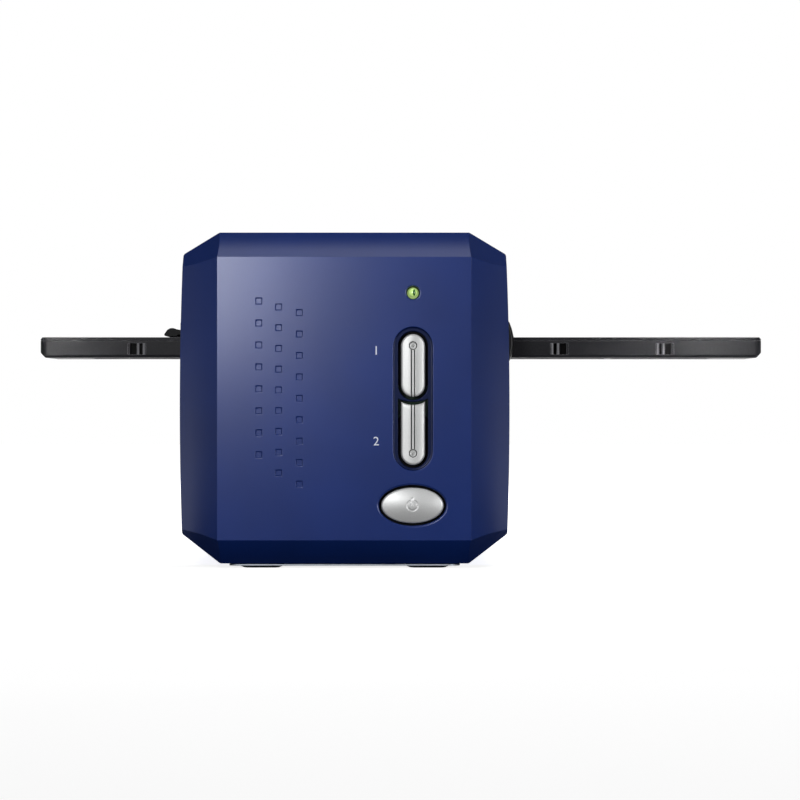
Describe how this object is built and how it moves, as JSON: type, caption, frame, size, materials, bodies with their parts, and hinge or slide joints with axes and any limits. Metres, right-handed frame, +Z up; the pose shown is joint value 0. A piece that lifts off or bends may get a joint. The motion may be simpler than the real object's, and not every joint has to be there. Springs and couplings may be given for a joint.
{
  "type": "film negative scanner",
  "caption": "Desktop film negative scanner: a bevelled upright housing with push buttons on its front and a sliding film strip holder run through slots in its sides.",
  "frame": {"origin": "on the floor under the middle of the object's box, which is the middle of the film holder as it lies in the scanner", "axes": "+X along the film holder to the viewer's right, +Y from the front face to the rear panel, +Z up"},
  "size_m": [0.26, 0.272, 0.119],
  "materials": {
    "navy_paint": "satin navy blue paint with a fine metallic sheen",
    "silver_button": "satin silver",
    "holder_plastic": "fine matte grain",
    "black_plastic": "satin",
    "pale_base": "pale grey satin",
    "foot_rubber": "matte",
    "steel": "brushed",
    "circuit_board": "solder mask",
    "cream_plastic": "matte",
    "green_led": "clear green dome",
    "opal_acrylic": "opal",
    "front_mirror": "front silvered",
    "lens_glass": "coated"
  },
  "bodies": {
    "housing": {"front_panel": "navy_paint", "top_cover": "navy_paint", "bottom_cover": "navy_paint", "rear_panel": "navy_paint", "rear_screw_1": "steel", "rear_screw_2": "steel", "base_plate": "pale_base", "foot_1": "foot_rubber", "foot_2": "foot_rubber", "foot_3": "foot_rubber", "foot_4": "foot_rubber", "base_screw_1": "steel", "base_screw_2": "steel", "base_screw_3": "steel", "base_screw_4": "steel", "slot_bezel_left": "black_plastic", "slot_bezel_right": "black_plastic", "door_pin_left": "steel", "door_pin_right": "steel", "upper_switch": "black_plastic", "lower_switch": "black_plastic", "power_switch": "black_plastic", "button_board": "circuit_board", "board_screw_1": "steel", "board_screw_2": "steel", "status_led": "green_led", "chassis": "steel", "guide_rod_left": "steel", "guide_rod_right": "steel", "film_channel_lower": "black_plastic", "film_channel_upper": "black_plastic", "detent_spring": "steel", "lamp_housing": "cream_plastic", "lamp_diffuser": "opal_acrylic", "lamp_board": "circuit_board", "scan_motor": "steel", "screw_bearing": "cream_plastic", "home_sensor": "black_plastic", "main_board": "circuit_board", "usb_socket": "steel", "power_inlet": "black_plastic", "ribbon_cable": "cream_plastic"},
    "film_holder": {"holder_tray": "holder_plastic", "holder_lid": "holder_plastic", "holder_hinge_pin": "steel"},
    "scan_carriage": {"carriage_frame": "black_plastic", "mirror": "front_mirror", "lens_barrel": "black_plastic", "lens": "lens_glass", "image_sensor_board": "circuit_board", "lead_nut": "cream_plastic"},
    "drive_screw": {"lead_screw": "steel"},
    "upper_button": {"scan_button_upper": "silver_button", "upper_switch_plunger": "cream_plastic"},
    "lower_button": {"scan_button_lower": "silver_button", "lower_switch_plunger": "cream_plastic"},
    "power_key": {"power_button": "silver_button", "power_switch_plunger": "cream_plastic"},
    "left_door": {"dust_door_left": "black_plastic"},
    "right_door": {"dust_door_right": "black_plastic"}
  },
  "joints": [
    {"name": "holder_slide", "type": "slide", "parent": "housing", "child": "film_holder", "axis": [1, 0, 0], "range_m": [-0.114, 0.165], "deforming": ["detent_spring"]},
    {"name": "scan_travel", "type": "slide", "parent": "housing", "child": "scan_carriage", "axis": [0, 1, 0], "range_m": [0, 0.026], "deforming": ["ribbon_cable"]},
    {"name": "screw_turn", "type": "hinge", "parent": "housing", "child": "drive_screw", "pos_m": [-0.019, 0, 0.023], "axis": [0, 1, 0], "range_deg": [-15, 1200]},
    {"name": "upper_button_press", "type": "slide", "parent": "housing", "child": "upper_button", "axis": [0, 1, 0], "range_m": [0, 0.001], "stiffness_N_per_m": 2500},
    {"name": "lower_button_press", "type": "slide", "parent": "housing", "child": "lower_button", "axis": [0, 1, 0], "range_m": [0, 0.001], "stiffness_N_per_m": 2500},
    {"name": "power_button_press", "type": "slide", "parent": "housing", "child": "power_key", "axis": [0, 1, 0], "range_m": [0, 0.001], "stiffness_N_per_m": 2500},
    {"name": "left_door_swing", "type": "hinge", "parent": "housing", "child": "left_door", "pos_m": [-0.0765, -0.075, 0.0846], "axis": [0, 1, 0], "range_deg": [0, 25]},
    {"name": "right_door_swing", "type": "hinge", "parent": "housing", "child": "right_door", "pos_m": [0.0332, -0.075, 0.0853], "axis": [0, 1, 0], "range_deg": [0, 25]}
  ],
  "couplings": [
    {"joint": "screw_turn", "follows": "scan_travel", "rad_per_m": 785.4}
  ]
}
